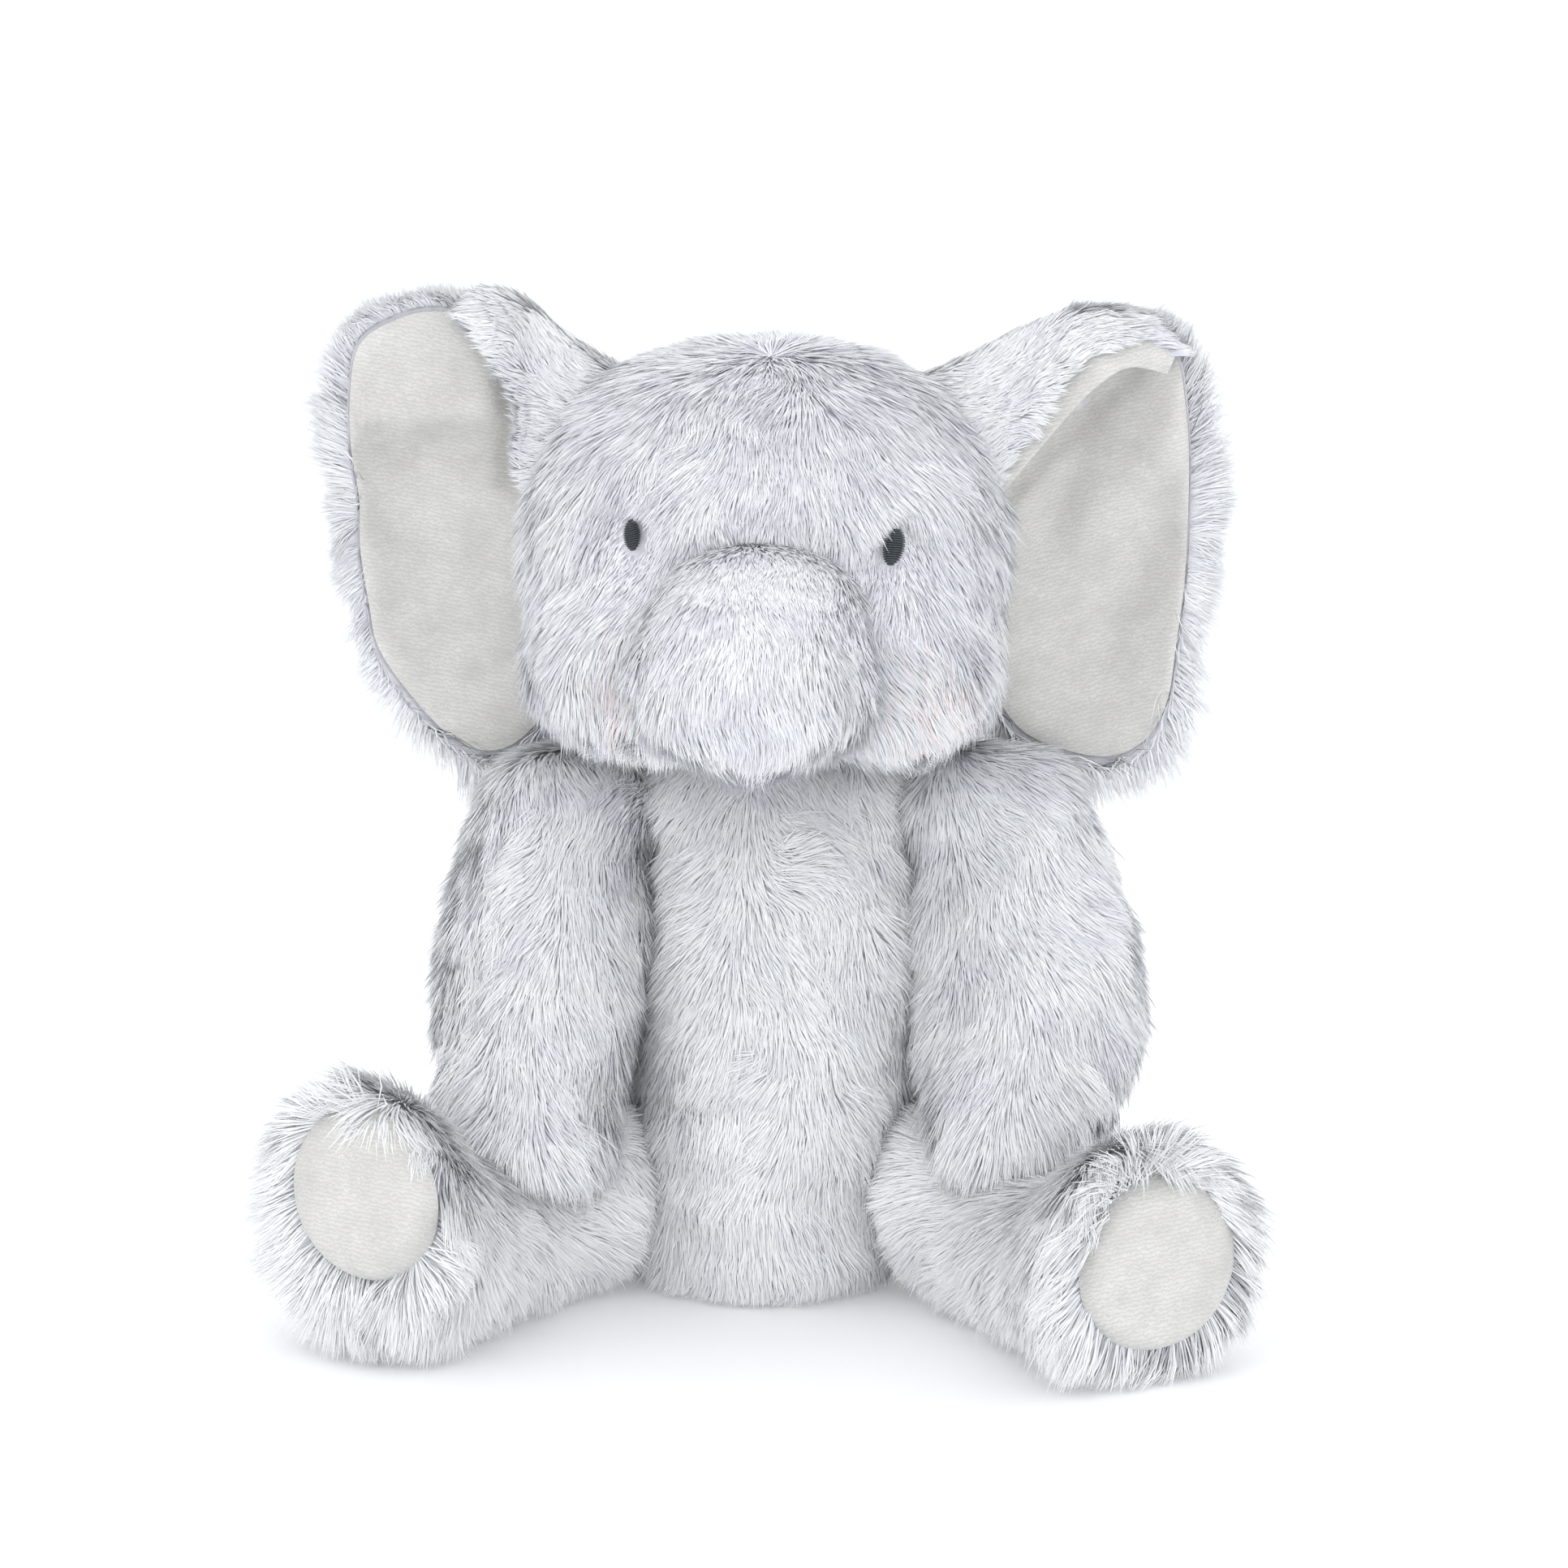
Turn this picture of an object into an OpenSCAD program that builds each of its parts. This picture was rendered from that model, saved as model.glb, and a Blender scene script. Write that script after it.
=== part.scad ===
// Stuffed elephant, sitting: long-pile plush sewn from panels over fibre stuffing.
// It faces -Y, stands on Z = 0 and its left and right are its own: left is +X.
// Each plush panel is drawn with the thickness of its cloth and pile together.

/* [Plush] */
// Thickness of the plush with its pile
pile_t = 5; // [4:0.5:6]
// Thickness of the short-pile lining and foot pads
velour_t = 1.5; // [1:0.1:2]
// Gap between neighbouring sewn pieces
ease = 0.4; // [0.3:0.1:0.6]

/* [Torso] */
// Width of the torso at the belly
torso_w = 60; // [56:1:60]
// Depth of the torso at the belly
torso_d = 66; // [60:1:68]
// Height of the neck seam above the seat
neck_z = 106; // [104:1:107]

/* [Head] */
// Width of the head across the cheeks
head_w = 98; // [94:1:100]
// Height of the head
head_h = 86; // [82:1:88]
// Depth of the head without the trunk
head_d = 86; // [80:1:88]
// Turn of the head towards its own right
head_turn = 3; // [0:1:5]
// Distance of each eye from the middle of the face
eye_x = 25; // [22:0.5:28]
// Height of the eyes above the seat
eye_z = 160; // [154:1:164]

/* [Trunk] */
// Width of the trunk at its root
trunk_w = 44; // [38:1:46]
// Width of the trunk at its tip
trunk_tip_w = 30; // [24:1:32]

/* [Ears] */
// Width of each ear from its root to its rim
ear_w = 42; // [38:1:44]
// Height of each ear
ear_h = 92; // [84:1:94]

/* [Arms] */
// Length of each arm from the shoulder pivot to the end of the paw
arm_l = 63; // [60:1:66]
// Width of each arm at its widest
arm_w = 40; // [36:1:40]

/* [Legs] */
// Length of the right leg from the hip pivot to the sole
right_leg_l = 63; // [56:1:66]
// Length of the left leg from the hip pivot to the sole
left_leg_l = 68; // [58:1:70]
// Thickness of the thigh
thigh_w = 34; // [32:1:34]
// Height of the right foot, which is turned up on its heel
right_foot_h = 57; // [50:1:58]
// Height of the left foot
left_foot_h = 50; // [48:1:54]
// Diameter of the pad on the sole
pad_d = 35; // [32:1:36]
// Turn of the right leg away from straight ahead
right_splay = 36; // [32:1:42]
// Turn of the left leg away from straight ahead
left_splay = 29; // [26:1:42]

/* [Hidden] */

plush = "#d4d7da";
velour = "#dedcd6";
wadding = "#f2f2ee";
charcoal = "#3a4044";

// Each station is [x, y, z, half width, half depth, tilt]. Tilt 0 is a level ring on
// a path that rises, 90 a ring on a path towards -Y, 180 one on a path that drops.
torso_c = [2, 2, 0];
pouch_top = 0.3;
torso_keys = [
    [0, 2, 0, torso_w * 0.42, torso_d * 0.42, 0],
    [0, 1, 12, torso_w * 0.49, torso_d * 0.49, 0],
    [1, 1, 32, torso_w * 0.5, torso_d * 0.5, 0],
    [3.5, 1, 58, torso_w * 0.49, torso_d * 0.47, 0],
    [4, 2, 84, torso_w * 0.46, torso_d * 0.43, 0],
    [2.5, 3, neck_z - 7, torso_w * 0.42, torso_d * 0.37, 0],
    [1, 3, neck_z, torso_w * 0.28, torso_d * 0.26, 0]];

neck_t = 4;
neck_r = 8.5;
head_c = [0, -3, neck_z + neck_t + 3 * ease + head_h / 2];
head_round = 2.25;
gusset_w = 0.3;
neck_pivot = [1, 3, neck_z + neck_t + ease];

trunk_pivot = [-2, head_c.y - head_d / 2 - 13, head_c.z - 11];
trunk_keys = [
    [0, 12, 1, 2, 2, 90],
    [0, 9, 1, trunk_w * 0.26, 9, 90],
    [0, 0, 0, trunk_w * 0.45, 13.5, 95],
    [0, -6, -3, trunk_w * 0.5, 16.5, 115],
    [0.5, -10, -11, trunk_w * 0.46, 15, 145],
    [2, -10, -18, trunk_tip_w * 0.54, 12.5, 165],
    [3, -9, -23, trunk_tip_w * 0.3, 7, 175],
    [3, -9, -25, 1.5, 1.5, 180]];

arm_pivot = [0, -5, 97];
arm_keys = [
    [2, 4, 15, 2, 2, 165],
    [1, 3, 12, arm_w * 0.28, 10, 165],
    [0, 0, 0, arm_w * 0.4, 15, 165],
    [1, -5, -20, arm_w * 0.48, 18, 167],
    [1, -10, -40, arm_w * 0.5, 18.5, 168],
    [0, -14, 10 - arm_l, arm_w * 0.38, 14, 170],
    [0, -15, 3 - arm_l, arm_w * 0.2, 7, 172],
    [0, -15, 1 - arm_l, 1.5, 1.5, 175]];
left_arm_x = 50;
right_arm_x = 44;
left_arm_lean = 8;
right_arm_lean = 3;

// Brings the middle of the footprint to the origin
middle = [2, 22.6, 0];

left_hip = [44, -23];
right_hip = [45.5, -15];

ear_mid = [head_w / 2 + 16, head_c.y + 9, head_c.z + 2];

// Value of a smooth curve through the key vectors, with t from 0 to 1
function along(keys, t) =
    let (
        last = len(keys) - 1,
        s = min(t * last, last - 0.00001),
        i = floor(s),
        f = s - i,
        a = keys[max(i - 1, 0)],
        b = keys[i],
        c = keys[i + 1],
        d = keys[min(i + 2, last)]
    )
    b + 0.5 * f * ((c - a) + f * ((2 * a - 5 * b + 4 * c - d) + f * (3 * b - a - 3 * c + d)));

// Points of one ring between two angles
function ring(s, from, to, cols) = [
    for (i = [0 : cols])
        let (a = from + (to - from) * i / cols)
        [s[0] + s[3] * cos(a), s[1] + s[4] * sin(a) * cos(s[5]), s[2] + s[4] * sin(a) * sin(s[5])]];

// Rows of points over a form, from station share t0 to t1 and round from one angle to another
function skin(keys, t0, t1, rows, from, to, cols) = [
    for (j = [0 : rows]) ring(along(keys, t0 + (t1 - t0) * j / rows), from, to, cols)];

// The same rows drawn in towards a middle point, by a share along each axis
function drawn_in(grid, c, k) = [
    for (row = grid) [for (p = row) [for (m = [0 : 2]) c[m] + k[m] * (p[m] - c[m])]]];

function flat(grid) = [for (row = grid) for (p = row) p];

// Faces over a grid of quads; lower is 0 for the outer side and the point count for the inner
function sheet_faces(rows, cols, lower, outward) = [
    for (j = [0 : rows - 1])
        for (i = [0 : cols - 1])
            let (
                a = lower + j * (cols + 1) + i,
                b = a + 1,
                c = b + cols + 1,
                d = a + cols + 1
            )
            outward ? [a, d, c, b] : [a, b, c, d]];

// Closed wall between an outer and an inner sheet of points
module panel(outer, inner) {
    rows = len(outer) - 1;
    cols = len(outer[0]) - 1;
    n = (rows + 1) * (cols + 1);
    ends = [
        for (i = [0 : cols - 1]) [i, i + 1, n + i + 1, n + i],
        for (i = [0 : cols - 1])
            let (a = rows * (cols + 1) + i)
            [a + 1, a, n + a, n + a + 1]];
    sides = [
        for (j = [0 : rows - 1])
            let (a = j * (cols + 1))
            [a + cols + 1, a, n + a, n + a + cols + 1],
        for (j = [0 : rows - 1])
            let (a = j * (cols + 1) + cols)
            [a, a + cols + 1, n + a + cols + 1, n + a]];
    polyhedron(
        concat(flat(outer), flat(inner)),
        concat(sheet_faces(rows, cols, 0, true), sheet_faces(rows, cols, n, false), ends, sides),
        convexity = 6);
}

// Solid form whose rings close on themselves, with flat ends
module wad(grid) {
    rows = len(grid) - 1;
    cols = len(grid[0]) - 1;
    points = [for (row = grid) for (i = [0 : cols - 1]) row[i]];
    walls = [
        for (j = [0 : rows - 1])
            for (i = [0 : cols - 1])
                let (a = j * cols + i, b = j * cols + (i + 1) % cols)
                [a, a + cols, b + cols, b]];
    bottom = [for (i = [0 : cols - 1]) i];
    top = [for (i = [0 : cols - 1]) rows * cols + cols - 1 - i];
    polyhedron(points, concat(walls, [bottom, top]), convexity = 4);
}

function shares(half, t) = [for (h = half) 1 - t / h];

module placed() { translate(middle) children(); }

// ---- Torso
module torso_panel(from, to) {
    grid = skin(torso_keys, 0, 1, 12, from, to, 11);
    k = [1 - pile_t / (torso_w / 2), 1 - pile_t / (torso_d / 2), 1];
    placed() panel(grid, drawn_in(grid, torso_c, k));
}

module torso_fill(t0, t1, rows) {
    inset = pile_t + ease;
    grid = skin(torso_keys, t0, t1, rows, 0, 360, 18);
    k = [1 - inset / (torso_w / 2), 1 - inset / (torso_d / 2), 1];
    placed() wad(drawn_in(grid, torso_c, k));
}

module torso_front_panel() { color(plush) torso_panel(180, 360); }
module torso_back_panel() { color(plush) torso_panel(0, 180); }

module seat_panel() {
    s = torso_keys[0];
    half_w = s[3] * (1 - pile_t / (torso_w / 2)) - ease;
    half_d = s[4] * (1 - pile_t / (torso_d / 2)) - ease;
    color(plush)
        placed() translate([s[0], s[1], 0])
            linear_extrude(height = pile_t)
                polygon([for (a = [0 : 7.5 : 359]) [half_w * cos(a), half_d * sin(a)]]);
}

module pellet_pouch() { color("#e9e6df") torso_fill(0.1, pouch_top, 4); }
module torso_stuffing() { color(wadding) torso_fill(pouch_top + 0.01, 0.99, 8); }

module neck_stuffing() {
    color(wadding)
        placed() translate([neck_pivot.x, neck_pivot.y, neck_z + ease])
            cylinder(h = neck_t - 2 * ease, r1 = neck_r + 2, r2 = neck_r - 1, $fn = 40);
}

module care_label() {
    a = 118;
    color("#f6f6f4")
        placed() translate([torso_w / 2 * cos(a), torso_d / 2 * sin(a) + 2.4, 8])
            rotate([0, 0, a - 88])
                translate([-6, 0, 0])
                    cube([12, 0.8, 18]);
}

tail_pivot = [2, torso_d / 2 + 6.5, 34];
tail_keys = [
    [0, 0, 9, 1.5, 1.5, 180],
    [0, 0, 7, 4, 4, 180],
    [0, 1, -2, 4.4, 4.4, 184],
    [0, 3, -14, 4.2, 4.2, 186],
    [0, 4, -21, 3, 3, 186],
    [0, 4, -24, 1, 1, 186]];

module tail() {
    color(plush) placed() translate(tail_pivot) wad(skin(tail_keys, 0, 1, 12, 0, 360, 12));
}

// ---- Head, drawn along local Z and laid across so that local Z is its width
function head_station(t) =
    let (
        u = -cos(180 * t),
        r = pow(max(1 - pow(abs(u), head_round), 0.0004), 1 / head_round)
    )
    [0, 0, u * head_w / 2, r * head_h / 2, r * head_d / 2, 0];

function head_rows(t0, t1, rows, from, to, cols) = [
    for (j = [0 : rows]) ring(head_station(t0 + (t1 - t0) * j / rows), from, to, cols)];

function head_shares(t) = shares([head_h / 2, head_d / 2, head_w / 2], t);

module on_head() {
    placed() translate(neck_pivot)
        rotate([0, 0, -head_turn])
            translate(-neck_pivot)
                children();
}

module laid_across() { on_head() translate(head_c) rotate([0, 90, 0]) children(); }

// A wall of the head all round, from one share of its width to another
module head_band(t0, t1, rows) {
    outer = head_rows(t0, t1, rows, 0, 360, 24);
    inner = drawn_in(outer, [0, 0, 0], head_shares(pile_t));
    laid_across() band(outer, inner);
}

// Closed wall between two sheets whose rings close on themselves
module band(outer, inner) {
    rows = len(outer) - 1;
    cols = len(outer[0]) - 1;
    n = (rows + 1) * cols;
    points = [for (grid = [outer, inner]) for (row = grid) for (i = [0 : cols - 1]) row[i]];
    faces = [
        for (j = [0 : rows - 1])
            for (i = [0 : cols - 1])
                let (a = j * cols + i, b = j * cols + (i + 1) % cols)
                each [[a, a + cols, b + cols, b], [n + a, n + b, n + b + cols, n + a + cols]],
        for (i = [0 : cols - 1])
            let (b = (i + 1) % cols, top = rows * cols)
            each [[i, b, n + b, n + i], [top + b, top + i, n + top + i, n + top + b]]];
    polyhedron(points, faces, convexity = 6);
}

module head_right_panel() { color(plush) head_band(0, 0.5 - gusset_w / 2, 7); }
module head_left_panel() { color(plush) head_band(0.5 + gusset_w / 2, 1, 7); }
module head_gusset() { color(plush) head_band(0.5 - gusset_w / 2, 0.5 + gusset_w / 2, 5); }

module head_stuffing() {
    rows = head_rows(0.02, 0.98, 12, 0, 360, 20);
    color(wadding) laid_across() wad(drawn_in(rows, [0, 0, 0], head_shares(pile_t + ease)));
}

// One eye, an oval of satin stitch laid on the slope of the cheek
module eye(side) {
    x = side * eye_x;
    rise = eye_z - head_c.z;
    off = 1 - pow(abs(x) * 2 / head_w, 2) - pow(abs(rise) * 2 / head_h, 2);
    yaw = 32 * side;
    on_head()
        translate([x, head_c.y - sqrt(off) * head_d / 2 - 1.6, eye_z])
            rotate([90, 12 * side, yaw])
                scale([2.5, 3.7, 1])
                    cylinder(h = 1, r = 1, $fn = 32);
}

module left_eye() { color(charcoal) eye(1); }
module right_eye() { color(charcoal) eye(-1); }

// ---- Trunk
trunk_c = [1, -6, -8];

function trunk_grid(t0, t1, from, to, cols) = skin(trunk_keys, t0, t1, 14, from, to, cols);

module trunk_panel(from, to) {
    outer = trunk_grid(0, 1, from, to, 9);
    inner = drawn_in(outer, trunk_c, [0.72, 0.72, 0.76]);
    on_head() translate(trunk_pivot) panel(outer, inner);
}

module trunk_top_panel() { color(plush) trunk_panel(0, 180); }
module trunk_under_panel() { color(plush) trunk_panel(180, 360); }

module trunk_stuffing() {
    core = drawn_in(trunk_grid(0.04, 0.97, 0, 360, 16), trunk_c, [0.68, 0.68, 0.72]);
    color(wadding) on_head() translate(trunk_pivot) wad(core);
}

// ---- Ears, drawn for the left side round the middle of the ear
ear_outline = [
    [-34, 32], [-24, 39], [-6, 45], [11, 41], [23, 27], [27, 6], [24, -16], [15, -36],
    [2, -45], [-10, -42], [-19, -30], [-18, -12], [-18, 6], [-24, 21]];

function ear_rim(i, n) =
    let (
        m = len(ear_outline),
        s = i * m / n,
        k = floor(s) % m,
        f = s - floor(s),
        a = ear_outline[(k + m - 1) % m],
        b = ear_outline[k],
        c = ear_outline[(k + 1) % m],
        d = ear_outline[(k + 2) % m],
        p = b + 0.5 * f * ((c - a) + f * ((2 * a - 5 * b + 4 * c - d) + f * (3 * b - a - 3 * c + d)))
    )
    [p.x * ear_w / 54, p.y * ear_h / 90];

// How far the ear's sheet lies behind its rim, a shallow cup that leans back at the bottom
function ear_cup(p, share) = 7 * (1 - share * share) - 0.04 * p.y;

function ear_sheet(grow, back) = [
    for (share = [0.04, 0.35, 0.65, 0.88, 1])
        [for (i = [0 : 28])
            let (rim = ear_rim(i % 28, 28), p = rim * grow * share)
            [p.x, ear_cup(p, share) + back * (1 - 0.55 * pow(share, 4)), p.y]]];

// A closed cushion between a front and a back sheet that share their middle
module ear_slab(grow, front, back) {
    outer = ear_sheet(grow, back);
    inner = ear_sheet(grow, front);
    rows = len(outer);
    n = 28;
    points = [for (grid = [outer, inner]) for (row = grid) for (i = [0 : n - 1]) row[i]];
    low = rows * n;
    rim = (rows - 1) * n;
    faces = [
        for (j = [0 : rows - 2])
            for (i = [0 : n - 1])
                let (a = j * n + i, b = j * n + (i + 1) % n)
                each [[a, b, b + n, a + n], [low + a, low + a + n, low + b + n, low + b]],
        for (i = [0 : n - 1])
            let (b = (i + 1) % n)
            [rim + i, rim + b, low + rim + b, low + rim + i],
        [for (i = [0 : n - 1]) n - 1 - i],
        [for (i = [0 : n - 1]) low + i]];
    polyhedron(points, faces, convexity = 6);
}

module on_ear(side) { on_head() mirror([side < 0 ? 1 : 0, 0, 0]) translate(ear_mid) children(); }
module ear_back(side) { color(plush) on_ear(side) ear_slab(1, 0, pile_t + 1); }
module ear_lining(side) { color(velour) on_ear(side) ear_slab(0.8, -velour_t - 0.2, -0.2); }
module left_ear_back() { ear_back(1); }
module left_ear_lining() { ear_lining(1); }
module right_ear_back() { ear_back(-1); }
module right_ear_lining() { ear_lining(-1); }

// ---- Arms, drawn for the left side round the shoulder pivot
arm_c = [-1, -8, -26];

function arm_grid(t0, t1, from, to, cols) = skin(arm_keys, t0, t1, 14, from, to, cols);

module on_arm(side) {
    x = side > 0 ? left_arm_x : right_arm_x;
    lean = side > 0 ? left_arm_lean : right_arm_lean;
    placed() mirror([side < 0 ? 1 : 0, 0, 0])
        translate([x, arm_pivot.y, arm_pivot.z])
            rotate([0, -lean, 0])
                children();
}

module arm_panel(side, from, to) {
    outer = arm_grid(0, 1, from, to, 9);
    color(plush) on_arm(side) panel(outer, drawn_in(outer, arm_c, [0.73, 0.74, 0.88]));
}

module arm_fill(side) {
    core = drawn_in(arm_grid(0.03, 0.97, 0, 360, 16), arm_c, [0.69, 0.7, 0.86]);
    color(wadding) on_arm(side) wad(core);
}

module left_arm_outer_panel() { arm_panel(1, -90, 90); }
module left_arm_inner_panel() { arm_panel(1, 90, 270); }
module left_arm_stuffing() { arm_fill(1); }
module right_arm_outer_panel() { arm_panel(-1, -90, 90); }
module right_arm_inner_panel() { arm_panel(-1, 90, 270); }
module right_arm_stuffing() { arm_fill(-1); }

// ---- Legs, drawn towards -Y from the hip pivot and then splayed
function leg_keys(leg_l, foot_h) = [
    [0, 16, thigh_w / 2, 2, 2, 90],
    [0, 13, thigh_w / 2, thigh_w * 0.32, thigh_w * 0.32, 90],
    [0, 3, thigh_w / 2, thigh_w * 0.48, thigh_w * 0.48, 90],
    [0, -0.3 * leg_l, thigh_w * 0.5, thigh_w * 0.5, thigh_w * 0.49, 90],
    [0, -0.58 * leg_l, foot_h * 0.37, foot_w * 0.42, foot_h * 0.36, 90],
    [0, -0.84 * leg_l, foot_h * 0.5, foot_w / 2, foot_h * 0.49, 90],
    [0, -0.96 * leg_l, pad_rise(foot_h) - 2, foot_w * 0.47, foot_h * 0.43, 90],
    [0, -leg_l, pad_rise(foot_h), pad_d * 0.48, pad_d * 0.52, 90]];

foot_w = 46;
function pad_rise(foot_h) = foot_h * 0.57;
function leg_c(leg_l, foot_h) = [0, -0.4 * leg_l, foot_h * 0.42];
function leg_shares(leg_l) = [0.75, 1 - pile_t / (leg_l / 2 + 8), 0.76];

function leg_grid(size, t0, t1, from, to, cols) =
    skin(leg_keys(size[0], size[1]), t0, t1, 14, from, to, cols);

left_leg = [left_leg_l, left_foot_h];
right_leg = [right_leg_l, right_foot_h];

module on_leg(side) {
    hip = side > 0 ? left_hip : right_hip;
    placed() mirror([side < 0 ? 1 : 0, 0, 0])
        translate([hip.x, hip.y, 0])
            rotate([0, 0, side > 0 ? left_splay : right_splay])
                children();
}

module leg_panel(side, size, from, to) {
    outer = leg_grid(size, 0, 1, from, to, 9);
    inner = drawn_in(outer, leg_c(size[0], size[1]), leg_shares(size[0]));
    color(plush) on_leg(side) panel(outer, inner);
}

module leg_fill(side, size) {
    core = leg_grid(size, 0.03, 0.99, 0, 360, 16);
    k = leg_shares(size[0]) - [0.03, 0.02, 0.03];
    color(wadding) on_leg(side) wad(drawn_in(core, leg_c(size[0], size[1]), k));
}

module foot_pad(side, size) {
    color(velour)
        on_leg(side)
            translate([0, -size[0] - 0.1, pad_rise(size[1])])
                rotate([90, 0, 0])
                    scale([pad_d * 0.48, pad_d * 0.52, velour_t])
                        cylinder(h = 1, r = 1, $fn = 48);
}

module left_leg_outer_panel() { leg_panel(1, left_leg, -90, 90); }
module left_leg_inner_panel() { leg_panel(1, left_leg, 90, 270); }
module left_leg_stuffing() { leg_fill(1, left_leg); }
module left_foot_pad() { foot_pad(1, left_leg); }
module right_leg_outer_panel() { leg_panel(-1, right_leg, -90, 90); }
module right_leg_inner_panel() { leg_panel(-1, right_leg, 90, 270); }
module right_leg_stuffing() { leg_fill(-1, right_leg); }
module right_foot_pad() { foot_pad(-1, right_leg); }

torso_front_panel();
torso_back_panel();
seat_panel();
torso_stuffing();
pellet_pouch();
care_label();
tail();
neck_stuffing();
head_left_panel();
head_right_panel();
head_gusset();
head_stuffing();
left_eye();
right_eye();
trunk_top_panel();
trunk_under_panel();
trunk_stuffing();
left_ear_back();
left_ear_lining();
right_ear_back();
right_ear_lining();
left_arm_outer_panel();
left_arm_inner_panel();
left_arm_stuffing();
right_arm_outer_panel();
right_arm_inner_panel();
right_arm_stuffing();
left_leg_outer_panel();
left_leg_inner_panel();
left_leg_stuffing();
left_foot_pad();
right_leg_outer_panel();
right_leg_inner_panel();
right_leg_stuffing();
right_foot_pad();
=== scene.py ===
from math import cos, pi, radians, sin

import bmesh
import bpy
import numpy as np
from mathutils import Matrix, Vector
from mathutils.kdtree import KDTree


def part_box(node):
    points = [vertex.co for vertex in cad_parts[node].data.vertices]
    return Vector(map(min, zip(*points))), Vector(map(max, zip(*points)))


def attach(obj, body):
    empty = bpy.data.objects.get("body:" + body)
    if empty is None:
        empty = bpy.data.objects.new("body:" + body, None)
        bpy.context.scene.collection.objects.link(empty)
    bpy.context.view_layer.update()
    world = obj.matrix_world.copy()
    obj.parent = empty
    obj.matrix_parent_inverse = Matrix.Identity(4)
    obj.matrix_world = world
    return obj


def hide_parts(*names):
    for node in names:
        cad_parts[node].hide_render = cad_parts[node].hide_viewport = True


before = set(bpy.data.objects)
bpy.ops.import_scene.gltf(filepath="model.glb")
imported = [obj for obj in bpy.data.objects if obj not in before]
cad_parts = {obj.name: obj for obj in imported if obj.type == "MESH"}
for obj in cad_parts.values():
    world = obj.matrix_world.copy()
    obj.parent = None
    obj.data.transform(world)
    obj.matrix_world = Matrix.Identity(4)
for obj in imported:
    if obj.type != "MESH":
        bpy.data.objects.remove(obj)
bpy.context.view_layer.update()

scene = bpy.context.scene
mm = 0.001

# The middle of the toy, from the neck: every place below is in mm from here, +X its left, -Y its front
neckLow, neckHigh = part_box("neck_stuffing")
middle = Vector(((neckLow[0] + neckHigh[0]) / 2 - 1 * mm, (neckLow[1] + neckHigh[1]) / 2 - 3 * mm, 0))


def at(x, y, z):
    return middle + Vector((x, y, z)) * mm


# ---- Small helpers

def toLinear(hexCode):
    parts = [int(hexCode[i:i + 2], 16) / 255 for i in (1, 3, 5)]
    return [c / 12.92 if c <= 0.04045 else ((c + 0.055) / 1.055) ** 2.4 for c in parts] + [1]


def addNode(tree, kind, values=None, links=None, **settings):
    node = tree.nodes.new(kind)
    for name, value in settings.items():
        setattr(node, name, value)
    for name, value in (values or {}).items():
        node.inputs[name].default_value = value
    for name, source in (links or {}).items():
        tree.links.new(source, node.inputs[name])
    return node


def newMaterial(name, values):
    material = bpy.data.materials.new(name)
    material.use_nodes = True
    shader = material.node_tree.nodes["Principled BSDF"]
    for key, value in values.items():
        shader.inputs[key].default_value = value
    return material, material.node_tree, shader


def newPiece(name, mesh, *materials):
    piece = bpy.data.objects.new(name, mesh)
    scene.collection.objects.link(piece)
    for material in materials:
        mesh.materials.append(material)
    return piece


def meshFrom(bm, name):
    mesh = bpy.data.meshes.new(name)
    bm.normal_update()
    bm.to_mesh(mesh)
    bm.free()
    mesh.polygons.foreach_set("use_smooth", [True] * len(mesh.polygons))
    return mesh


def faceTo(bm, way):
    # turns a sheet over if it faces away from the given direction
    bm.normal_update()
    if sum(f.normal.dot(way) for f in bm.faces) < 0:
        bmesh.ops.reverse_faces(bm, faces=bm.faces[:])


def onDisc(vert):
    # where a square grid's point goes when the grid is drawn round into a disc, and how far out
    u, v = vert.co.x, vert.co.y
    dx, dy = u * (1 - v * v / 2) ** 0.5, v * (1 - u * u / 2) ** 0.5
    return dx, dy, min((dx * dx + dy * dy) ** 0.5, 1)


def points(mesh):
    co = np.empty(len(mesh.vertices) * 3, np.float32)
    mesh.vertices.foreach_get("co", co)
    return co.reshape(-1, 3).astype(float)


def unit(v):
    return v / np.maximum(np.linalg.norm(v, axis=-1, keepdims=True), 1e-9)


def smoothstep(a, b, x):
    t = np.clip((x - a) / (b - a), 0, 1)
    return t * t * (3 - 2 * t)


def ripple(p, size, seed):
    # smooth drift from about -1 to 1 over space, crossed waves of about the given size in mm
    rng = np.random.default_rng(seed)
    total = np.zeros(len(p))
    for _ in range(7):
        way = rng.normal(size=3)
        way *= 2 * pi / (size * mm) * (0.6 + 0.9 * rng.random()) / np.linalg.norm(way)
        total += np.sin(p @ way + rng.random() * 6.28)
    return total / 2.2


def curveThrough(keys, t, closed=False):
    # smooth curve through the key points, t from 0 to 1
    n = len(keys)
    last = n if closed else n - 1
    s = min(max(t, 0), 1) * last
    i = min(int(s), last - 1)
    f = s - i
    pick = (lambda k: keys[k % n]) if closed else (lambda k: keys[min(max(k, 0), n - 1)])
    a, b, c, d = (Vector(pick(k)) for k in (i - 1, i, i + 1, i + 2))
    return b + 0.5 * f * ((c - a) + f * ((2 * a - 5 * b + 4 * c - d) + f * (3 * b - a - 3 * c + d)))


# ---- Finishes

# Long-pile polyester plush: knitted ground with a brushed pile standing up from it. The ground
# is only seen as the darker bottom of each parting.
ground = {
    "shade": "#d2d1d8", "light": "#e2e2e7",
    "roughness": 0.9, "specular": 0.2, "loopMm": 1.6, "bumpMm": 0.3,
}


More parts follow.
